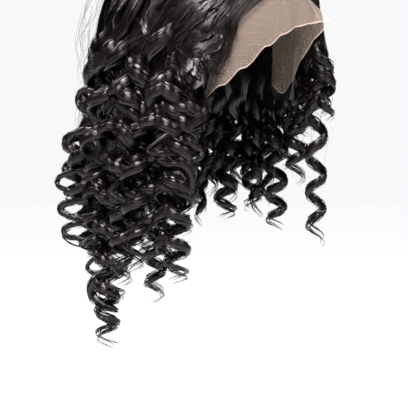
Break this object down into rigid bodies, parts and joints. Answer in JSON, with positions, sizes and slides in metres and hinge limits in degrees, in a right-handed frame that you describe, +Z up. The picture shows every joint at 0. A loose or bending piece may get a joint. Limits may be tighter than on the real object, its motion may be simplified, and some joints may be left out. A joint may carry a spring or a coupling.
{
  "type": "lace front wig",
  "caption": "Dark wig of long spiral curls on a hollow net cap, with an untrimmed sheer lace front and a centre parting, held in its worn form.",
  "frame": {"origin": "inside of the cap at the crown, where the cap bears on the wearer's head", "axes": "+Z up from the neck to the crown, -Y towards the wearer's face, +X towards the wearer's left"},
  "size_m": [0.2619, 0.2762, 0.4591],
  "materials": {
    "hair": "satin",
    "cap_net": "matte",
    "lace": "matte"
  },
  "bodies": {
    "root": {"wig_cap": "cap_net", "lace_front": "lace", "right_crown_hair": "hair", "left_crown_hair": "hair", "back_crown_hair": "hair", "right_under_hair": "hair", "left_under_hair": "hair", "back_under_hair": "hair", "right_temple_ringlet": "hair", "right_ear_ringlet": "hair", "right_long_ringlet": "hair", "right_behind_ear_ringlet": "hair", "right_back_ringlet": "hair", "back_right_ringlet": "hair", "back_middle_ringlet": "hair", "back_left_ringlet": "hair", "left_back_ringlet": "hair", "left_behind_ear_ringlet": "hair", "left_long_ringlet": "hair", "left_ear_back_ringlet": "hair", "left_ear_ringlet": "hair", "left_cheek_ringlet": "hair", "left_temple_ringlet": "hair"}
  },
  "joints": []
}
